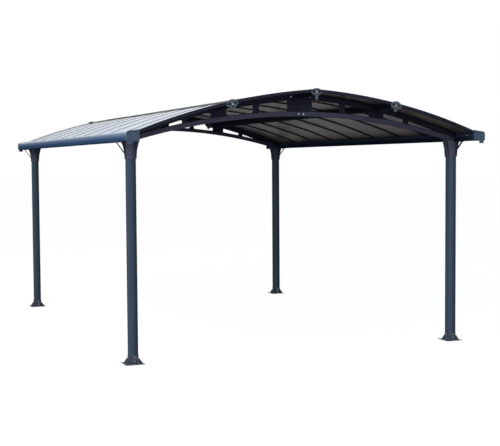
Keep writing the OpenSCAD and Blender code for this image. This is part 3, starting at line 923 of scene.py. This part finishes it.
# %% Bolts of the feet
anchor_reach = 0.068
foot_bolt_heights = (0.027, 0.064)
foot_top = [Vector((corner.x, corner.y, plate)) for corner in corners]
fasten("anchor_bolts", (0.016, 0.0065, 0.0105, 0.002),
       [(base + anchor_reach * side, UP) for base in foot_top for side in SIDES],
       dull_zinc)
fasten("foot_bolts", (0.013, 0.0055, 0.0085, 0.0016),
       [(Vector((base.x, base.y, height)) + plate_face * side, side)
        for base in foot_top for side in SIDES for height in foot_bolt_heights],
       dull_zinc)

# %% Bolts of the heads
outer_heights = (0.040, 0.085)
side_heights = (0.045, 0.120)
side_spread = 0.024
head_places = []
for corner in corners:
    outer = Vector((math.copysign(1.0, corner.x), 0.0, 0.0))
    for height in outer_heights:
        foot = Vector((corner.x, corner.y, head_top - height))
        head_places.append((foot + plate_face * outer, outer))
    for side in SIDES[2:]:
        for across in (-side_spread, side_spread):
            for height in side_heights:
                foot = Vector((corner.x + across, corner.y, head_top - height))
                head_places.append((foot + plate_face * side, side))
fasten("head_bolts", (0.010, 0.0045, 0.007, 0.0014), head_places, head_coat)

# %% Bolts of the trusses
chord_bolt_x = 0.10
chord_middle = 0.039
splice_share = 0.28


def outwards(end):
    """The way that the near or far end faces."""
    return Vector((0, -1 if end == "near" else 1, 0))


def on_face(name, end, x, z):
    """A point on the outer face of a part at the near or far end."""
    low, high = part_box(name)
    return Vector((x, low.y if end == "near" else high.y, z))


truss_places, splice_places = [], []
for end in ("near", "far"):
    chord, splice = end + "_truss_upper_chord", end + "_truss_splice"
    for x in (-chord_bolt_x, chord_bolt_x):
        chord_z = (roof_point(x) - chord_middle * roof_normal(x)).z
        truss_places.append((on_face(chord, end, x, chord_z), outwards(end)))
    low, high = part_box(splice)
    for side in (-1, 1):
        x = side * (high.x - low.x) * splice_share
        splice_places.append((on_face(splice, end, x, (low.z + high.z) / 2), outwards(end)))
fasten("chord_bolts", (0.013, 0.005, 0.009, 0.0016), truss_places)
fasten("splice_bolts", (0.012, 0.005, 0.0085, 0.0016), splice_places)

# %% Bolts of the caps
boss_face = cap_front - 0.003
cap_places = [(cap_hub(x) + Vector((0, way * boss_face, 0)), Vector((0, way, 0)))
              for way in (-1, 1) for x in (-purlin_x, 0.0, purlin_x)]
fasten("cap_bolts", (0.0125, 0.0029, 0.0076, 0.0012), cap_places)

panel_y = 2.507
gutter_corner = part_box("right_gutter")[0]
screw_spots = [(0.016, 0.016), (0.016, 0.062), (0.088, 0.020), (0.084, 0.066)]
screws = []
for side in (-1, 1):
    for way in (-1, 1):
        for out, up in screw_spots:
            spot = Vector((side * (gutter_corner.x + out), way * panel_y, gutter_corner.z + up))
            screws.append((spot, Vector((0, way, 0))))
fasten("gutter_cap_screws", (0.007, 0.0018, 0.005, 0.0008), screws,
       gutter_cap_plastic)

# %% Bolts inside the gutters
rafter_y = 2.375
gutter_bolt_height = 0.055
fasten("gutter_bolts", (0.010, 0.0045, 0.0075, 0.0014),
       [(Vector((side * gutter_corner.x, way * rafter_y, gutter_corner.z + gutter_bolt_height)),
         Vector((-side, 0, 0))) for side in (-1, 1) for way in (-1, 1)])

# %% [markdown]
# ## Rubber seals
# Water is kept out by a thin rubber lip on each side of every glazing bar,
# both above and below the sheets. A lip keeps one small section all the way
# along the roof's arc, so its section is drawn once as a single face and
# spun about the roof's centre. A spin along part of a circle leaves the
# section's own face at both ends, so the lip is closed.

# %% Seals along the bars
bar_half = 0.012
lip_w = 0.0025
purlin_side = 0.041
bar_pitch = -corners[0].y / 4
bar_lines = [count * bar_pitch for count in range(-4, 5)]
strips = [(eave_x, purlin_x + purlin_side), (purlin_x - purlin_side, purlin_side)]


def seal(shape, y, heights, strip):
    """One rubber lip along a strip of the roof, from its eave side up."""
    start, stop = roof_angle(strip[0]), roof_angle(strip[1])
    low, high = heights
    made = bmesh.ops.create_grid(shape, x_segments=1, y_segments=1, size=0.5)
    profile = (Matrix.Translation((roof_radius + (low + high) / 2, y, 0.0))
               @ Matrix.Diagonal((high - low, lip_w, 1.0, 1.0)))
    centre = Vector((roof_centre.x, 0.0, roof_centre.y))
    raised = Matrix.Translation(centre) @ Matrix.Rotation(-start, 4, "Y")
    bmesh.ops.transform(shape, matrix=raised @ profile, verts=made["verts"])
    face = made["verts"][0].link_faces[0]
    bmesh.ops.spin(shape, geom=[*face.verts, *face.edges, face], cent=centre,
                   axis=(0, 1, 0), angle=start - stop, steps=14,
                   use_merge=False, use_duplicate=False)


def seals(name, heights):
    """The lips of every bar, between two heights against the roof line."""
    shape = bmesh.new()
    for y in bar_lines:
        for side in (-1, 1):
            for strip in strips:
                seal(shape, y + side * (bar_half + lip_w / 2), heights, strip)
    doubled = bmesh.ops.duplicate(shape, geom=[*shape.verts, *shape.edges, *shape.faces])
    copies = [item for item in doubled["geom"] if isinstance(item, bmesh.types.BMVert)]
    bmesh.ops.scale(shape, vec=(-1, 1, 1), verts=copies)
    bmesh.ops.recalc_face_normals(shape, faces=shape.faces)
    as_piece(shape, name, rubber)


seals("bar_seals_above", (0.00005, 0.0015))
seals("bar_seals_below", (-0.0100, -0.0081))
print("seals along", len(bar_lines), "bars")

# %% [markdown]
# ## Floor and light
# A plain pale floor and a white surround let the dark frame stand clear. The
# surround is white only where the camera, a reflection or the clear roof
# sees it; as a light it is softer. One large soft lamp from the left and
# front gives the posts a lighter side, and the floor keeps a faint shadow.
# The glossy roof would mirror the lamps as glaring discs, so they are hidden
# from reflections: the roof shows only the surround.

# %% Surround
def seen_directly(tree):
    """1 for what the camera, a reflection or a clear piece sees, 0 for light."""
    rays = add(tree, "ShaderNodeLightPath").outputs
    either = maths(tree, "MAXIMUM", rays["Is Camera Ray"], rays["Is Glossy Ray"])
    return maths(tree, "MAXIMUM", either, rays["Is Transmission Ray"])


def mixed(tree, share, first, second):
    """Two shaders in one, by their share."""
    return add(tree, "ShaderNodeMixShader",
               {"Fac": share, 1: first.outputs[0], 2: second.outputs[0]}).outputs[0]


world = bpy.data.worlds.new("surround")
world.use_nodes = True
bpy.context.scene.world = world
tree = world.node_tree
tree.nodes.clear()
light = add(tree, "ShaderNodeBackground", {"Color": (0.93, 0.96, 1.0), "Strength": 0.5})
seen = add(tree, "ShaderNodeBackground", {"Color": (1.0, 1.0, 1.0), "Strength": 1.0})
add(tree, "ShaderNodeOutputWorld", {"Surface": mixed(tree, seen_directly(tree), light, seen)})
print("surround ready")

# %% Floor
floor_mesh = bpy.data.meshes.new("floor")
shape = bmesh.new()
bmesh.ops.create_circle(shape, cap_ends=True, segments=96, radius=120.0)
shape.to_mesh(floor_mesh)
shape.free()
floor = bpy.data.objects.new("floor", floor_mesh)
bpy.context.scene.collection.objects.link(floor)

whitened = 0.75
paving, tree, shader, where = start_material("floor_paint")
fill(tree, shader, {"Base Color": (0.40, 0.40, 0.40), "Roughness": 0.9,
                    "Specular IOR Level": 0.0})
white = add(tree, "ShaderNodeEmission", {"Color": (1.0, 1.0, 1.0), "Strength": 1.25})
share = maths(tree, "MULTIPLY", seen_directly(tree), whitened)
fill(tree, tree.nodes["Material Output"], {"Surface": mixed(tree, share, shader, white)})
floor_mesh.materials.append(paving)
print("floor ready")

# %% Lamps
def soft_lamp(name, place_at, aim_at, size, watts, colour=(1.0, 1.0, 1.0)):
    """A round area lamp that reflections don't show."""
    data = bpy.data.lights.new(name, "AREA")
    data.shape, data.size, data.energy, data.color = "DISK", size, watts, colour
    lamp = bpy.data.objects.new(name, data)
    lamp.location = place_at
    lamp.rotation_euler = (Vector(aim_at) - Vector(place_at)).to_track_quat("-Z", "Y").to_euler()
    lamp.visible_glossy = False
    bpy.context.scene.collection.objects.link(lamp)


soft_lamp("key", (-9.0, -6.0, 7.5), (0.0, 0.0, 1.4), 6.0, 900.0, (1.0, 0.99, 0.97))
soft_lamp("fill", (2.0, -11.0, 4.0), (0.0, 0.0, 1.4), 5.0, 330.0)
bpy.context.scene.view_settings.view_transform = "Standard"
print("lamps ready")
